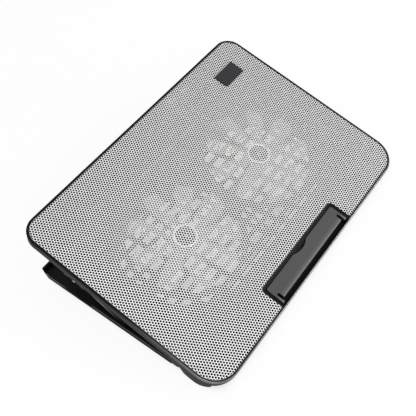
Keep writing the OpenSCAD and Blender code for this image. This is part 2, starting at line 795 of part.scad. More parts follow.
// Base's outline from above, with tapered rear corners
module base_outline() {
  half = base_w / 2;
  polygon([
    [-half, floor_front], [half, floor_front], [half, base_l - taper_l], [half - taper_w, base_l],
    [-half + taper_w, base_l], [-half, base_l - taper_l]
  ]);
}

// Air slots under one fan, as long as the fan is wide there
module air_slots() {
  slot_step = 13;
  slot_w = 7;
  reach = fan_r - 4;
  for (k = [-4 : 4]) translate([0, k * slot_step]) slot(2 * sqrt(reach * reach - pow(k * slot_step, 2)), slot_w);
}

// Base: a floor with air slots, side rails that carry the hinge and the props, and a rear wall
module base_tray() color(ABS_BLACK) on_base() {
  low = -base_h / 2;
  rear_wall = 2.4;
  rib_w = 2;
  rib_top = low + base_floor + 3.6;
  difference() {
    union() {
      difference() {
        translate([0, 0, low]) linear_extrude(base_floor) difference() {
          base_outline();
          for (x = [-1, 1]) translate([x * fan_x, fan_y - hinge_y]) air_slots();
        }
        both_sides() translate([base_w / 2, base_l + 1, low + base_floor]) rotate([90, 0, 0])
          linear_extrude(base_l + 2) polygon([[-edge_chamfer, 0], [1, 0], [1, -edge_chamfer - 1]]);
      }
      translate([0, 0, low]) linear_extrude(base_h) intersection() {
        base_outline();
        translate([-base_w / 2, base_l - rear_wall]) square([base_w, rear_wall]);
      }
      for (x = [-2 : 2]) translate([x * fan_x - rib_w / 2, fan_y - hinge_y + pod_r + pod_wall + 4, low])
        cube([rib_w, base_l - rear_wall / 2 - (fan_y - hinge_y + pod_r + pod_wall + 4), rib_top - low]);
      both_sides() {
        along_x(base_w / 2 - rail_w, base_w / 2 - ledge) rail_section();
        along_x(base_w / 2 - eye_w, base_w / 2 - ledge) eye_section();
        along_x(prop_out - prop_w - cheek_gap - cheek_w, prop_out - prop_w - cheek_gap) cheek_section();
      }
    }
    both_sides() {
      along_x(base_w / 2 - eye_w - 1, base_w / 2 - ledge - 0.6) circle(hinge_pin_r + fit);
      along_x(prop_out - prop_w - cheek_gap - cheek_w + 0.6, base_w / 2 - ledge - 0.6) translate([prop_l, 0])
        circle(prop_pin_r);
      translate([prop_out - prop_w - cheek_gap, prop_l - prop_h / 2 - slack, -prop_h / 2 - slack])
        cube([prop_w + 2 * cheek_gap, prop_l + prop_h + 2 * slack, base_h]);
      translate([base_w / 2 - foot_in_x, base_l - foot_in_y, low - 1]) cylinder(r = foot_r + fit, h = foot_recess + 1);
    }
  }
}

// Side rail from the side: round about the hinge, and raked down to the floor at its rear end
module rail_section() {
  rake = 6;
  circle(base_h / 2);
  polygon([
    [0, -base_h / 2], [rail_l, -base_h / 2], [rail_l, -base_h / 2 + base_floor],
    [rail_l - rake, base_h / 2], [0, base_h / 2]
  ]);
}

// Thicker end of the rail that holds the hinge pin
module eye_section() {
  circle(eye_r);
  translate([0, -eye_r]) square([floor_front + 2, 2 * eye_r]);
}

// Upright on the floor that holds the inner end of a prop's pin
module cheek_section() {
  half = 5;
  translate([prop_l, 0]) circle(base_h / 2 - 0.4);
  translate([prop_l - half, -base_h / 2]) square([2 * half, base_h / 2]);
}

module hinge_pins() color(STEEL) on_base()
  both_sides() along_x(knuckle_out - knuckle_w + 1.2, base_w / 2 - ledge - 1) circle(hinge_pin_r);

// Prop: a bar that turns on its pin in the base, with a knob that carries the deck's rack
module prop_leg() {
  translate([0, prop_l, 0]) rotate([2 * deck_tilt, 0, 0]) {
    along_x(prop_out - prop_w, prop_out) difference() {
      union() {
        circle(prop_h / 2);
        translate([0, -prop_h / 2]) square([prop_l, prop_h]);
        translate([prop_l, 0]) circle(prop_h / 2);
      }
      circle(prop_pin_r + fit);
    }
    along_x(prop_out - eps, rack_out) translate([prop_l, 0]) circle(knob_r);
  }
}

module prop_leg_left() color(ABS_PALE) on_base() scale([-1, 1, 1]) prop_leg();
module prop_leg_right() color(ABS_PALE) on_base() prop_leg();

module prop_pins() color(STEEL) on_base()
  both_sides() along_x(prop_out - prop_w - cheek_gap - cheek_w + 0.8, base_w / 2 - ledge - 0.8) translate([prop_l, 0])
    circle(prop_pin_r);

// Rubber feet under the rear of the base
module rear_feet() color(RUBBER) on_base() for (x = [-1, 1])
  translate([x * (base_w / 2 - foot_in_x), base_l - foot_in_y, -base_h / 2 - foot_h]) {
    cylinder(r1 = foot_r - 1.2, r2 = foot_r, h = foot_h);
    translate([0, 0, foot_h - eps]) cylinder(r = foot_r, h = foot_recess + eps);
  }

top_frame();
mesh_panel();
badge_plate();
bottom_cover();
cover_screws();
stopper_flap();
stopper_pins();
fan_rotor_left();
fan_rotor_right();
rotor_magnet_left();
rotor_magnet_right();
fan_shaft_left();
fan_shaft_right();
fan_bearing_left();
fan_bearing_right();
motor_stator_left();
motor_stator_right();
fan_lamps_left();
fan_lamps_right();
fan_lead_left();
fan_lead_right();
circuit_board();
usb_sockets();
switch_body();
switch_slider();
rack_left();
rack_right();
rack_screws();
front_pads();
base_tray();
hinge_pins();
prop_leg_left();
prop_leg_right();
prop_pins();
rear_feet();
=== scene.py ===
"""Looks of a laptop cooling pad: a fine perforated panel over two see-through fans, in a moulded frame that
a base props up, on a pale studio floor."""
import json
import math

import bpy
import numpy as np
from mathutils import Matrix, Vector


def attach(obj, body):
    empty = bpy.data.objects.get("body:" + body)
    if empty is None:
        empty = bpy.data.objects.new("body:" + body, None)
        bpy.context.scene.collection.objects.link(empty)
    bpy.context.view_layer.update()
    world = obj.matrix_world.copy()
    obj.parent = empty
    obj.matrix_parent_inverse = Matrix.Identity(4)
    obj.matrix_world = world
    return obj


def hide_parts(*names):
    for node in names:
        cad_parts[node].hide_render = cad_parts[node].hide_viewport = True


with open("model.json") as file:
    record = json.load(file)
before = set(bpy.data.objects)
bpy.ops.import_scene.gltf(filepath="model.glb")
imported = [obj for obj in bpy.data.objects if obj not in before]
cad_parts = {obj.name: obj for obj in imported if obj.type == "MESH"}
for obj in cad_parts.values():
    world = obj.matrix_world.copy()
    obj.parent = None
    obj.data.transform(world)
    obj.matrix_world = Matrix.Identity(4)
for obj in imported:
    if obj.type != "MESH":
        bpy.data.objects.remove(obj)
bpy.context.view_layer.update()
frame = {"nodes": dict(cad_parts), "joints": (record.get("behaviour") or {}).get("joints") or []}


# Upper frame: rim, walls and front feet in one moulding of black plastic with a fine spark-eroded texture.
# The rim that hands rub is smoother than the walls, and its outer edge catches the light at the front.
# Its front corners are rounder than its rear ones.
class Shade:
    """A value in a material's node tree: arithmetic on it adds Math nodes, and node() adds any other."""

    def __init__(self, tree, socket=None):
        self.tree, self.socket = tree, socket

    def node(self, kind, inputs=None, out=0, **settings):
        """Adds a node, makes its settings, then sets or plugs its inputs by name or number."""
        n = self.tree.nodes.new(kind)
        for key, value in settings.items():
            setattr(n, key, value)
        for key, value in (inputs or {}).items():
            if isinstance(value, Shade):
                self.tree.links.new(value.socket, n.inputs[key])
            else:
                n.inputs[key].default_value = value
        return Shade(self.tree, n.outputs[out])

    def math(self, operation, *values):
        """One Math node on the given values, in their order."""
        return self.node("ShaderNodeMath", dict(enumerate(values)), operation=operation)

    def __add__(self, other): return self.math("ADD", self, other)
    def __radd__(self, other): return self.math("ADD", other, self)
    def __sub__(self, other): return self.math("SUBTRACT", self, other)
    def __rsub__(self, other): return self.math("SUBTRACT", other, self)
    def __mul__(self, other): return self.math("MULTIPLY", self, other)
    def __rmul__(self, other): return self.math("MULTIPLY", other, self)

    def step(self, low, high):
        """Smooth rise from 0 at low to 1 at high."""
        return self.node("ShaderNodeMapRange", {"Value": self, "From Min": low, "From Max": high},
                         interpolation_type="SMOOTHSTEP")

    def beyond(self, limit):
        """0 below a limit in metres and 1 above it, across a fifth of a millimetre."""
        return self.step(limit - 0.0001, limit + 0.0001)

    def below(self, limit):
        """1 below a limit in metres and 0 above it."""
        return 1.0 - self.beyond(limit)

    def size(self):
        """The value without its sign."""
        return self.math("ABSOLUTE", self)

    def most(self, other):
        """The larger of this and the other value."""
        return self.math("MAXIMUM", self, other)

    def least(self, other):
        """The smaller of this and the other value."""
        return self.math("MINIMUM", self, other)

    def length_with(self, other):
        """Length of the flat vector that this and the other value make."""
        return self.math("SQRT", self * self + other * other)

    def noise(self, scale, detail=3.0):
        """Cloud of the given scale per metre at this place."""
        return self.node("ShaderNodeTexNoise", {"Vector": self, "Scale": scale, "Detail": detail})

    def between(self, dark, light):
        """Colour between two colours, by this factor."""
        return self.node("ShaderNodeMix", {0: self, 6: (*dark, 1.0), 7: (*light, 1.0)}, out=2,
                         data_type="RGBA")

    def into(self, socket):
        """Plugs this value into a socket of the surface."""
        self.tree.links.new(self.socket, socket)


def start_finish(name, **constants):
    """New material with its fixed numbers set. Returns it, the sockets and the place on the piece."""
    finish = bpy.data.materials.new(name)
    finish.use_nodes = True
    sockets = finish.node_tree.nodes["Principled BSDF"].inputs
    for key, value in constants.items():
        sockets[key.replace("_", " ")].default_value = value
    return finish, sockets, Shade(finish.node_tree).node("ShaderNodeTexCoord", out="Object")


def grain_bump(height, strength, depth):
    """Normal of a surface raised by the height, in metres of depth."""
    return height.node("ShaderNodeBump", {"Height": height, "Strength": strength, "Distance": depth})


def dress(finish, *names):
    """CAD pieces that keep their own mesh, each with this finish and no other."""
    for name in names:
        frame["nodes"][name].data.materials.clear()
        frame["nodes"][name].data.materials.append(finish)


tilt = math.radians(17.0)
hinge = Vector(next(j for j in frame["joints"] if j["name"] == "deck_tilt")["pos_m"])
hinge_to_middle = (0.0, 0.078, 0.0158)
deck = Matrix.Translation(hinge) @ Matrix.Rotation(tilt, 4, "X") @ Matrix.Translation(hinge_to_middle)
rim_face = (-0.0016, -0.0004)


def apart_xyz(place):
    """The x, y and z of a place."""
    split = place.node("ShaderNodeSeparateXYZ", {0: place})
    return [Shade(place.tree, output) for output in split.socket.node.outputs]


def on_deck(place, x=0.0, y=0.0):
    """Place in the deck's own frame, measured from a point on it: its x, y and z."""
    start = deck @ Vector((x, y, 0.0))
    moved = {"Vector": place, "Location": start, "Rotation": (tilt, 0.0, 0.0)}
    return apart_xyz(place.node("ShaderNodeMapping", moved, vector_type="TEXTURE"))


def black_moulding(name, dark, light, shine):
    """Black plastic: a slow smear between two tones under a spark-eroded grain, smoother where hands rub
    the rim. Returns the finish, its sockets and the place on the piece."""
    finish, surface, place = start_finish(name, Specular_IOR_Level=shine, Coat_IOR=2.3, Coat_Roughness=0.12,
                                          Specular_Tint=(1.0, 0.90, 1.0, 1.0))
    spark = place.noise(1500.0)
    smear = place.noise(22.0, 5.0)
    rubbed = on_deck(place)[2].step(*rim_face)
    smear.between(dark, light).into(surface["Base Color"])
    (0.45 + 0.10 * smear + 0.06 * spark - 0.14 * rubbed).into(surface["Roughness"])
    grain_bump(spark, 0.10, 0.0003).into(surface["Normal"])
    return finish, surface, place


deck_half, front_round, rear_round = np.array([0.1825, 0.1310]), 0.030, 0.020
lip, front_part = (-0.0030, -0.0008), (-0.125, 0.010)
frame_dark, frame_light = (0.0030, 0.0028, 0.0034), (0.0060, 0.0056, 0.0066)
frame_black, surface, place = black_moulding("frame_black", frame_dark, frame_light, 0.10)
x, y, z = on_deck(place)
past_x = (x.size() - (deck_half[0] - front_round)).most(0.0)
past_y = (y.size() - (deck_half[1] - front_round)).most(0.0)
brink = past_x.length_with(past_y).step(front_round - 0.0022, front_round - 0.0012)
handled = brink * z.step(*lip) * (1.0 - y.step(*front_part))
handled.into(surface["Coat Weight"])


def add_piece(name, points, faces, finish, body):
    """Closed mesh that rides on a body, with one finish."""
    mesh = bpy.data.meshes.new(name)
    mesh.from_pydata(points.tolist(), [], faces.tolist())
    mesh.materials.append(finish)
    mesh.update()
    piece = bpy.data.objects.new(name, mesh)
    bpy.context.scene.collection.objects.link(piece)
    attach(piece, body)
    return piece


def tight_corners(name, node, finish):
    """Copy of a moulding of the deck, merged, with tighter rear corners. Each point beyond the centre of a
    rear round moves out along its ray from that centre, by the gap on the ray between the wider round
    and the tighter one, and by less the nearer it is to the centre."""
    cad = frame["nodes"][node].data
    points, corners = np.empty(3 * len(cad.vertices)), np.empty(3 * len(cad.loop_triangles), np.int32)
    cad.vertices.foreach_get("co", points)
    cad.loop_triangles.foreach_get("vertices", corners)
    points, same = np.unique(points.reshape(-1, 3).round(7), axis=0, return_inverse=True)
    faces = same.ravel()[corners].reshape(-1, 3)
    faces = faces[(faces != np.roll(faces, 1, 1)).all(1)]
    turn, start = np.array(deck.to_3x3()), np.array(deck.translation)
    points = (points - start) @ turn
    side = np.where(points[:, 0] < 0.0, -1.0, 1.0)
    past = np.column_stack([points[:, 0] * side, points[:, 1]]) - deck_half + front_round
    reach = np.maximum(np.hypot(*past.T), 1e-9)
    ray = np.maximum(past, 1e-9) / reach[:, None]
    shift = front_round - rear_round
    along = shift * ray.sum(1)
    on_round = along + np.sqrt(np.maximum(along ** 2 - 2.0 * shift ** 2 + rear_round ** 2, 0.0))
    on_side = front_round / ray.max(1)
    edge = np.where(on_side * ray.min(1) < shift, on_side, on_round)
    gain = (edge - front_round) * np.minimum(reach / rear_round, 1.0) * (past > 0.0).all(1)
    points[:, :2] += ray * gain[:, None] * np.column_stack([side, np.ones(len(side))])
    piece = add_piece(name, points @ turn.T + start, faces, finish, "deck")
    piece.data.polygons.foreach_set("use_smooth", np.ones(len(faces), bool))
    piece.data.set_sharp_from_angle(angle=math.radians(30.0))
    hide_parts(node)


tight_corners("frame_moulding", "top_frame", frame_black)

# Base and racks: a tray with side rails, and two toothed racks, in the frame's black plastic made darker
# as painted shade for parts in shade under the deck. Slots run from front to back in its floor, round each
# fan and between the fans: the finish clears them, also in a plain slab laid into the floor. Its outer
# edge catches the light as a line.
# Painted shade: both tones are darker than the frame's, for the base, racks and cover under the deck.
shaded_black_dark, shaded_black_light = (0.0022, 0.0022, 0.0024), (0.0046, 0.0044, 0.0048)
base_black, surface, place = black_moulding("base_black", shaded_black_dark, shaded_black_light, 0.14)
x, y, z = apart_xyz(place)
base_half, base_rear, taper_length, taper = 0.18275, 0.1205, 0.011, math.radians(15.255)
in_x, in_y = base_half - x.size(), base_rear - y
in_taper = math.cos(taper) * in_x + math.sin(taper) * (in_y - taper_length)
inset = in_x.least(in_y).least(in_taper)
line_outer, line_inner, rail_low = (0.0006, 0.0009), (0.0015, 0.0019), (0.0138, 0.0144)
line = inset.step(*line_outer) * (1.0 - inset.step(*line_inner)) * (1.0 - z.step(*rail_low))
(0.8 * line).into(surface["Coat Weight"])
fan_out, fan_back = 0.070, -0.001
floor_low, floor_high, slab_front, slab_rear, slab_half = 0.01125, 0.01335, -0.0628, 0.0747, 0.1375
slot_round, slot_middle, band_rear, cross_bar = 0.074, 0.0052, -0.0188, 0.003
slot_pitch, slot_half = 0.0225, 0.00825


def off_column(x):
    """Distance from the middle line of the nearest front-to-back slot."""
    return x.math("PINGPONG", x - slot_pitch / 2, slot_pitch / 2)


out, north = x.size() - fan_out, y - slot_middle
vented = out.length_with(north).below(slot_round).most(out.below(0.0) * y.below(band_rear))
slot = vented * off_column(x).below(slot_half) * north.size().beyond(cross_bar)
slot = slot * y.beyond(slab_front) * z.below(floor_high + 0.0002)
(1.0 - slot).into(surface["Alpha"])
dress(base_black, "base_tray", "rack_left", "rack_right")
corners = np.array([(x, y, z) for z in (0, 1) for x, y in ((-1, 0), (1, 0), (1, 1), (-1, 1))])
slab_size = (slab_half, slab_rear - slab_front, floor_high - floor_low)
corners = corners * slab_size + (0.0, slab_front, floor_low)
sides = np.array([(3, 2, 1, 0), (4, 5, 6, 7), (0, 1, 5, 4), (1, 2, 6, 5), (2, 3, 7, 6), (3, 0, 4, 7)])
add_piece("base_floor_slab", corners, sides, base_black, "base")

# Lower cover: the same darker black plastic, painted shade, dull inside, screwed up into the frame. Each fan
# pod has a floor of straight bars round the motor's seat, and the rows of slots run on across the plate in
# front of and beside the fans. The finish clears the slots, in the plate and in a plain ring laid into each
# pod's floor.
cover_black, surface, place = black_moulding("cover_black", shaded_black_dark, shaded_black_light, 0.10)
row_pitch, row_half, first_row = 0.01275, 0.0036, 0.0045
seat_round, floor_round, pod_outside, plate_round = 0.017, 0.064, 0.0696, 0.076
plate_front, plate_side, side_rear, ribs_rear, bar_half = -0.0297, 0.040, 0.045, -0.066, 0.002
floor_top, plate_low = -0.0145, -0.0121
x, y, z = on_deck(place, 0.0, fan_back)
out = x.size() - fan_out
radius, spread = out.length_with(y), out.most(0.0).length_with(y)
row = y.math("PINGPONG", y - first_row, row_pitch / 2).below(row_half)
spoke = out.size().below(bar_half) * y.beyond(0.0)
floor_open = radius.beyond(seat_round) * radius.below(floor_round) * z.below(floor_top) * (1.0 - spoke)
ribs = off_column(x).beyond(slot_half) * y.below(ribs_rear)
plate_open = (out.beyond(plate_side) * y.below(side_rear)).most(y.below(plate_front))
plate_open = plate_open * radius.beyond(pod_outside) * spread.below(plate_round) * z.beyond(plate_low)
plate_open = plate_open * x.size().beyond(bar_half) * (1.0 - ribs)
(1.0 - row * (floor_open + plate_open)).into(surface["Alpha"])
tight_corners("cover_moulding", "bottom_cover", cover_black)


def square_ring(inner, outer, low, high, count=96):
    """Flat ring with a square section: its four edge circles, joined in turn by bands of quads."""
    turn = np.arange(count) * (2.0 * math.pi / count)
    circle = np.stack([np.cos(turn), np.sin(turn)], 1)
    edges = ((outer, high), (inner, high), (inner, low), (outer, low))
    points = np.concatenate([np.column_stack([circle * r, np.full(count, h)]) for r, h in edges])
    edge, here = np.repeat(np.arange(4), count) * count, np.tile(np.arange(count), 4)
    below, after = (edge + count) % (4 * count), (here + 1) % count
    return points, np.stack([edge + here, edge + after, below + after, below + here], 1)


ring, quads = square_ring(inner=0.0165, outer=0.0663, low=-0.01665, high=-0.01495)
for name, across in (("pod_floor_left", -fan_out), ("pod_floor_right", fan_out)):
    points = (ring + (across, fan_back, 0.0)) @ np.array(deck.to_3x3()).T + np.array(deck.translation)
    add_piece(name, points, quads, cover_black, "deck")

# Fan motors: a wound stator on a sintered bronze sleeve, and a ferrite ring pressed into the rotor's
# cup. They sit on the cover's seats, under the hubs.
copper, surface, place = start_finish("enamelled_winding", Metallic=0.75)
wound = {"Vector": place, "Scale": 420.0, "Distortion": 1.5}
turns = place.node("ShaderNodeTexWave", wound, bands_direction="Z")
turns.between((0.22, 0.075, 0.02), (0.50, 0.22, 0.08)).into(surface["Base Color"])
(0.28 + 0.25 * turns).into(surface["Roughness"])
grain_bump(turns, 0.4, 0.0004).into(surface["Normal"])
dress(copper, "motor_stator_left", "motor_stator_right")

bronze, surface, place = start_finish("sintered_bronze", Metallic=1.0)
pores = place.noise(2600.0)
pores.between((0.34, 0.20, 0.08), (0.58, 0.39, 0.17)).into(surface["Base Color"])
(0.30 + 0.3 * pores).into(surface["Roughness"])
dress(bronze, "fan_bearing_left", "fan_bearing_right")

ferrite, surface, place = start_finish("ferrite")
speck = place.noise(3000.0)
speck.between((0.02, 0.02, 0.021), (0.055, 0.055, 0.058)).into(surface["Base Color"])
(0.5 + 0.3 * speck).into(surface["Roughness"])
dress(ferrite, "rotor_magnet_left", "rotor_magnet_right")

# Fan rotors: nine cambered blades and a hub cup, moulded in one piece of smoke-clear plastic. The blades
# let the air slots below show through. They glow with a painted haze of light, and the edge of the hub's
# cap glows as a painted highlight ring: painted light, since the rotor is no lamp.
hub_round, ring_inner, ring_outer, cap_depth, blur = 0.0144, 0.0115, 0.0135, -0.0071, 0.0003
for across, rotor in ((-fan_out, "fan_rotor_left"), (fan_out, "fan_rotor_right")):
    smoke, surface, place = start_finish(f"smoke_clear_{rotor}", Specular_IOR_Level=0.3,
                                         Emission_Strength=1.0)
    x, y, z = on_deck(place, across, fan_back)
    cloud = place.noise(60.0, 2.0)
    radius = x.length_with(y)
    ring = radius.step(ring_inner - blur, ring_inner + blur) * z.step(cap_depth - blur, cap_depth + blur)
    ring = ring * (1.0 - radius.step(ring_outer - blur, ring_outer + blur))
    blade = radius.step(hub_round - 2 * blur, hub_round + 2 * blur)
    # Painted light: emitted colour, a cloudy haze on the blades and a bright ring at the cap's edge.
    painted_glow = 0.6 * ring + blade * (0.36 + 0.22 * cloud)
    painted_glow.between((0.0, 0.0, 0.0), (1.0, 0.960, 0.970)).into(surface["Emission Color"])
    cloud.between((0.004, 0.004, 0.005), (0.010, 0.010, 0.011)).into(surface["Base Color"])
    (0.24 + 0.14 * cloud).into(surface["Roughness"])
    (1.0 - 0.82 * blade).into(surface["Alpha"])
    dress(smoke, rotor)

# Lamps and leads: unlit domed light-emitting diodes pushed through each duct's wall, and thin leads with
# a pale grey sleeve that run from the board to the motors.
lens_clear, surface, place = start_finish("clear_lamp", Roughness=0.15)
milky = place.noise(900.0)
milky.between((0.05, 0.05, 0.06), (0.10, 0.10, 0.11)).into(surface["Base Color"])
dress(lens_clear, "fan_lamps_left", "fan_lamps_right")

sleeve, surface, place = start_finish("lead_sleeve")
rub = place.noise(500.0)
rub.between((0.12, 0.12, 0.12), (0.20, 0.20, 0.20)).into(surface["Base Color"])
(0.45 + 0.25 * rub).into(surface["Roughness"])
dress(sleeve, "fan_lead_left", "fan_lead_right")

# Circuit board, sockets and switch: a green glass-fibre board with tinned tracks, two folded nickel
# shells round dark tongues, and a slide switch whose grip is ribbed.
mask, surface, place = start_finish("green_board")
tracks = place.node("ShaderNodeTexBrick", {"Vector": place, "Scale": 90.0, "Mortar Size": 0.012}, out=1)
weave = place.noise(1200.0)
(0.5 * weave + 0.6 * tracks).between((0.004, 0.045, 0.018), (0.03, 0.16, 0.07)).into(surface["Base Color"])
(0.30 + 0.2 * weave).into(surface["Roughness"])
grain_bump(tracks, 0.3, 0.0001).into(surface["Normal"])
dress(mask, "circuit_board")

nickel, surface, place = start_finish("nickel_shell")
x, y, z = on_deck(place)
brushed = place.noise(1400.0)
left_socket, right_socket, tongue_front = 0.056, 0.080, 0.12875
tongue_side, tongue_low, tongue_high = (0.00556, 0.00560), (-0.00600, -0.00598), (-0.00412, -0.00410)
middle = (x - left_socket).size().least((x - right_socket).size())
tongue = (1.0 - middle.step(*tongue_side)) * z.step(*tongue_low)
tongue = tongue * (1.0 - z.step(*tongue_high)) * y.below(tongue_front)
(1.0 - tongue).into(surface["Metallic"])
tongue.between((0.62, 0.61, 0.58), (0.012, 0.012, 0.013)).into(surface["Base Color"])
(0.22 + 0.16 * brushed + 0.2 * tongue).into(surface["Roughness"])
dress(nickel, "usb_sockets")

casing, surface, place = start_finish("switch_casing")
fleck = place.noise(800.0)
fleck.between((0.012, 0.012, 0.012), (0.03, 0.03, 0.03)).into(surface["Base Color"])
(0.4 + 0.2 * fleck).into(surface["Roughness"])
dress(casing, "switch_body")

grip, surface, place = start_finish("ribbed_grip")
ribs = place.node("ShaderNodeTexWave", {"Vector": place, "Scale": 260.0}, bands_direction="X")
ribs.between((0.03, 0.03, 0.031), (0.075, 0.075, 0.077)).into(surface["Base Color"])
(0.5 - 0.1 * ribs).into(surface["Roughness"])
grain_bump(ribs, 0.8, 0.0005).into(surface["Normal"])
dress(grip, "switch_slider")

# Perforated panel: one sheet of white-silver painted steel, punched with staggered round holes right up
# to its edges and laid on a shelf inside the rim. The walls of the holes and the back of the sheet are
# coloured near-black as painted shade, so the holes read dark. The sheet is cut into bands here only to
# keep each mesh light.
panel_half = np.array([179.3, 127.8])
front_corner, rear_corner, panel_top, panel_bottom = 26.8, 16.8, -0.5, -1.3
bay_half, bay_rear, bay_corner = 69.8, -99.2, 5.0
pitch, row_step, hole_radius, edge_web, cell_spill = 3.056, 2.535, 1.235, 0.20, 1.9
last_row, last_hole, bands = 51, 60, 6


def outline_distance(p):
    """Signed distance in mm from the panel's outline, negative inside: the larger of the distance from
    a rounded rectangle and the distance into the stopper's bay, a rounded box open at the front."""
    corner = np.where(p[:, 1] > 0.0, rear_corner, front_corner)
    q = np.abs(p) - panel_half + corner[:, None]
    plate = np.hypot(*np.maximum(q, 0.0).T) + np.minimum(q.max(1), 0.0) - corner
    b = np.stack([np.abs(p[:, 0]) - bay_half + bay_corner, p[:, 1] - bay_rear + bay_corner], 1)
    bay = np.hypot(*np.maximum(b, 0.0).T) + np.minimum(b.max(1), 0.0) - bay_corner
    return np.maximum(plate, -bay)


def pressed_in(p, web=0.0):
    """Points closer than a web's width to the outline, moved in to it along the distance's slope."""
    for _ in range(3):
        d = outline_distance(p) + web
        step = 0.01
        slope = np.stack([outline_distance(p + [step, 0.0]), outline_distance(p + [0.0, step])], 1)
        slope = (slope + web - d[:, None]) / step
        p = p - slope * np.maximum(d, 0.0)[:, None] / np.maximum((slope ** 2).sum(1), 0.5)[:, None]
    return p


def punched_band(rows):
    """Band of the sheet. Each hole is a ring of quads between a circle and its brick-shaped cell, above and
    below, joined by a wall down the hole; a wall also closes the outline. Rows shift by half a pitch, and
    edge cells are pressed into the outline. Returns the points, the quads and each quad's material."""
    j, i = np.meshgrid(rows, np.arange(-last_hole, last_hole + 1), indexing="ij")
    centre = np.stack([(i + 0.5 * (j % 2)).ravel() * pitch, j.ravel() * row_step], 1)
    centre = centre[outline_distance(centre) < cell_spill]
    corner = math.atan2(row_step, pitch)
    side = (math.pi - 2.0 * corner) / 3.0
    half_turn = np.array([0.0, corner, corner + side, corner + 2.0 * side, math.pi - corner])
    turn = np.concatenate([half_turn, half_turn + math.pi])
    ray = np.stack([np.cos(turn), np.sin(turn)], 1)
    reach = (np.array([pitch, row_step]) / 2 / np.maximum(np.abs(ray), 1e-9)).min(1)
    n, m = len(turn), len(centre)
    edge = pressed_in((centre[:, None] + ray * reach[:, None]).reshape(-1, 2))
    rim = pressed_in((centre[:, None] + ray * hole_radius).reshape(-1, 2), edge_web)
    flat = np.concatenate([edge, rim, rim, edge])
    z = np.repeat([panel_top, panel_top, panel_bottom, panel_bottom], n * m)
    base = np.arange(m)[:, None] * n
    here, after = base + np.arange(n), base + (np.arange(n) + 1) % n
    layer = n * m
    rim_here, rim_after = here + layer, after + layer
    low_here, low_after = here + 3 * layer, after + 3 * layer
    over = np.stack([rim_here, here, after, rim_after], 2).reshape(-1, 4)
    wall = np.stack([rim_here, rim_after, rim_after + layer, rim_here + layer], 2).reshape(-1, 4)
    under = np.stack([rim_here + layer, rim_after + layer, low_after, low_here], 2).reshape(-1, 4)
    brim = np.stack([here, low_here, low_after, after], 2).reshape(-1, 4)
    on_outline = np.abs(outline_distance(edge)) < 0.02
    brim = brim[on_outline[brim[:, 0]] & on_outline[brim[:, 3]]]
    quads = np.concatenate([over, under, brim, wall])
    kind = np.repeat([0, 1, 0, 1], [len(over), len(under), len(brim), len(wall)])
    points = np.column_stack([flat, z])
    one, two = points[quads[:, 2]] - points[quads[:, 0]], points[quads[:, 3]] - points[quads[:, 1]]
    keep = np.linalg.norm(np.cross(one, two), axis=1) > 1e-3
    return points / 1000.0, quads[keep], kind[keep]


painted, surface, place = start_finish("panel_paint", Metallic=0.08)
drift = place.noise(14.0, 4.0)
grain = place.noise(2400.0, 2.0)
drift.between((0.90, 0.90, 0.905), (0.95, 0.95, 0.95)).into(surface["Base Color"])
(0.34 + 0.16 * grain).into(surface["Roughness"])
grain_bump(grain, 0.05, 0.0002).into(surface["Normal"])
# Painted shade: near-black for the walls of the holes and the sheet's back.
hole_shade, surface, place = start_finish("hole_walls_painted_shade", Specular_IOR_Level=0.1)
burr = place.noise(1800.0)
burr.between((0.004, 0.004, 0.005), (0.014, 0.014, 0.015)).into(surface["Base Color"])
(0.55 + 0.2 * burr).into(surface["Roughness"])
for number, rows in enumerate(np.array_split(np.arange(-last_row, last_row + 1), bands)):
    points, quads, kind = punched_band(rows)
    points = points @ np.array(deck.to_3x3()).T + np.array(deck.translation)
    mesh = bpy.data.meshes.new(f"panel_band_{number}")
    mesh.vertices.add(len(points))
    mesh.vertices.foreach_set("co", points.astype(np.float32).ravel())
    mesh.loops.add(quads.size)
    mesh.loops.foreach_set("vertex_index", quads.astype(np.int32).ravel())
    mesh.polygons.add(len(quads))
    mesh.polygons.foreach_set("loop_start", np.arange(0, quads.size, 4, dtype=np.int32))
    mesh.materials.append(painted)
    mesh.materials.append(hole_shade)
    mesh.polygons.foreach_set("material_index", kind.astype(np.int32))
    mesh.update(calc_edges=True)
    mesh.validate()
    band = bpy.data.objects.new(f"panel_band_{number}", mesh)
    bpy.context.scene.collection.objects.link(band)
    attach(band, "deck")
    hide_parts("mesh_panel")

# Plate near the back right corner: a bare moulding of satin black plastic with a stepped edge and fine
# lines from left to right. It is stuck to the panel.
satin, surface, place = start_finish("satin_plate", Specular_IOR_Level=0.35)
brushed = place.node("ShaderNodeMapping", {"Vector": place, "Scale": (40.0, 1800.0, 1.0)})
brushed = place.node("ShaderNodeTexNoise", {"Vector": brushed, "Scale": 1.0})
brushed.between((0.010, 0.010, 0.012), (0.022, 0.022, 0.025)).into(surface["Base Color"])
(0.38 + 0.14 * brushed).into(surface["Roughness"])
grain_bump(brushed, 0.05, 0.0002).into(surface["Normal"])
dress(satin, "badge_plate")

# Stopper: one moulding with a mid-grey upper face. Below the face, down the round of its front edge, it is
# darkened to near-black as painted shade, and a band along the front of the face is lightened as a painted
# highlight. It snaps onto two pins in the bay.
grey, surface, place = start_finish("grey_with_painted_light", Specular_IOR_Level=0.4)
spark = place.noise(1900.0, 2.0)
smear = place.noise(35.0, 4.0)
x, y, z = on_deck(place)
shade_edge, sheen_band = (-0.0021, -0.0013), (-0.1225, -0.1165)
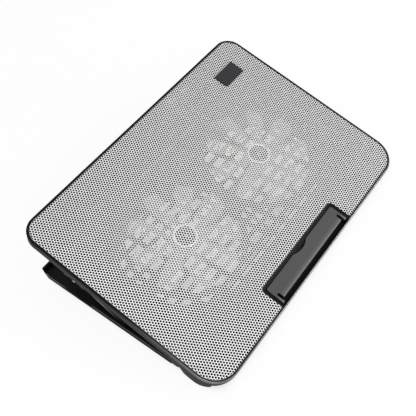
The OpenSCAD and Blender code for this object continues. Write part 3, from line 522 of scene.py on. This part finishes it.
# Painted shade below the upper face, and a painted highlight band along its front edge.
unshaded_top = z.step(*shade_edge)
painted_front_sheen = 0.55 + 0.45 * (1.0 - y.step(*sheen_band))
grey_with_painted_light = unshaded_top * (0.8 + 0.2 * smear) * painted_front_sheen
grey_with_painted_light.between((0.004, 0.004, 0.0045), (0.112, 0.112, 0.115)).into(surface["Base Color"])
(0.25 + 0.06 * smear + 0.05 * spark + 0.2 * (1.0 - unshaded_top)).into(surface["Roughness"])
grain_bump(spark, 0.05, 0.0002).into(surface["Normal"])
dress(grey, "stopper_flap")

# Props: black moulded bars that swing out of slots in the base on steel pins. The pale knobs at their ends
# run on the racks and hold the deck up.
pale, surface, place = start_finish("pale_moulding", Specular_IOR_Level=0.5)
smear = place.noise(60.0, 4.0)
knob_low = (0.0470, 0.0480)
knob = apart_xyz(place)[2].step(*knob_low)
(knob * (0.8 + 0.2 * smear)).between((0.003, 0.003, 0.003), (0.42, 0.42, 0.42)).into(surface["Base Color"])
(0.30 + 0.15 * smear).into(surface["Roughness"])
dress(pale, "prop_leg_left", "prop_leg_right")

# Front pads and rear feet: moulded black rubber, matt, with dust in its pores. The pads are let into the
# frame's front feet, and the feet stand under the rear of the base.
rubber, surface, place = start_finish("black_rubber", Specular_IOR_Level=0.25)
dust = place.noise(700.0, 5.0)
dust.between((0.012, 0.012, 0.012), (0.035, 0.034, 0.033)).into(surface["Base Color"])
(0.75 + 0.2 * dust).into(surface["Roughness"])
grain_bump(dust, 0.25, 0.0004).into(surface["Normal"])
dress(rubber, "front_pads", "rear_feet")

# Pins, shafts and screws: turned and cold-headed steel, zinc plated, with fine turning marks. The stopper,
# base, props and rotors turn on the pins and shafts, and the screws hold the cover and the racks.
zinc, surface, place = start_finish("plated_steel", Metallic=1.0)
marks = place.noise(3200.0, 2.0)
tarnish = place.noise(120.0, 4.0)
tarnish.between((0.42, 0.42, 0.43), (0.60, 0.60, 0.60)).into(surface["Base Color"])
(0.22 + 0.2 * marks + 0.1 * tarnish).into(surface["Roughness"])
grain_bump(marks, 0.1, 0.0001).into(surface["Normal"])
dress(zinc, "stopper_pins", "hinge_pins", "prop_pins", "fan_shaft_left", "fan_shaft_right")
dress(zinc, "cover_screws", "rack_screws")

# Floor and light: a pale sweep that shows white to the camera and takes the pad's shadow, dimmer under the
# pad where no light gets in, below an even white sky. A broad soft lamp stands at the front left, and
# three strips draw the edges.
paper, surface, place = start_finish("studio_paper", Roughness=1.0, Specular_IOR_Level=0.0)
surface["Base Color"].default_value = (0.9, 0.9, 0.9, 1.0)
rays = place.node("ShaderNodeLightPath", out="Is Camera Ray").socket.node.outputs
to_camera, glossy, through = (Shade(place.tree, rays[f"Is {kind} Ray"])
                              for kind in ("Camera", "Glossy", "Transmission"))
seen = (to_camera + glossy + through).least(1.0)
white = place.node("ShaderNodeEmission", {"Color": (1.0, 1.0, 1.0, 1.0), "Strength": 1.0})
body = Shade(place.tree, paper.node_tree.nodes["Principled BSDF"].outputs[0])
x, y, z = apart_xyz(place)
shade_side, shade_end = (0.165, 0.185), (0.110, 0.130)
under = (1.0 - x.size().step(*shade_side)) * (1.0 - y.size().step(*shade_end))
shown = place.node("ShaderNodeMixShader", {0: seen * (0.90 - 0.69 * under), 1: body, 2: white})
shown.into(paper.node_tree.nodes["Material Output"].inputs["Surface"])
span = 12.0
mesh = bpy.data.meshes.new("studio_floor")
square = [(-span, -span, 0.0), (span, -span, 0.0), (span, span, 0.0), (-span, span, 0.0)]
mesh.from_pydata(square, [], [(0, 1, 2, 3)])
mesh.materials.append(paper)
floor = bpy.data.objects.new("studio_floor", mesh)
bpy.context.scene.collection.objects.link(floor)

world = bpy.data.worlds.new("studio_sky")
world.use_nodes = True
world.node_tree.nodes["Background"].inputs["Color"].default_value = (1.0, 1.0, 1.0, 1.0)
world.node_tree.nodes["Background"].inputs["Strength"].default_value = 0.8
bpy.context.scene.world = world
for name, spot, width, tall, power in (
        ("key_softbox", (-0.8, -0.9, 1.3), 0.9, 0.9, 6.0),
        ("front_strip", (0.78, -1.10, 0.90), 0.8, 0.22, 6.0),
        ("low_front", (0.35, -1.70, 0.40), 1.6, 0.45, 7.0),
        ("side_strip", (-1.30, 0.35, 0.42), 0.9, 0.16, 2.6)):
    lamp = bpy.data.lights.new(name, "AREA")
    lamp.shape, lamp.size, lamp.size_y, lamp.energy = "RECTANGLE", width, tall, power
    softbox = bpy.data.objects.new(name, lamp)
    softbox.location = spot
    softbox.rotation_mode = "QUATERNION"
    softbox.rotation_quaternion = (-softbox.location).to_track_quat("-Z", "Y")
    bpy.context.scene.collection.objects.link(softbox)

# Camera: above the front left corner, where the panel's four corners put it. Its place and turn are given
# in the deck's own frame.
stand = Vector((-0.3392, -0.1140, 0.61075))
turn = Matrix(((0.5965, 0.6678, -0.4452), (-0.7875, 0.5941, -0.1639), (0.1551, 0.4484, 0.8803)))
lens = bpy.data.cameras.new("camera")
lens.sensor_width, lens.lens = 36.0, 55.02
lens.clip_start, lens.clip_end = 0.01, 60.0
camera = bpy.data.objects.new("camera", lens)
camera.rotation_mode = "QUATERNION"
camera.location = deck @ stand
camera.rotation_quaternion = (deck.to_3x3() @ turn).to_quaternion()
bpy.context.scene.collection.objects.link(camera)
bpy.context.scene.camera = camera
bpy.context.scene.view_settings.view_transform = "Standard"
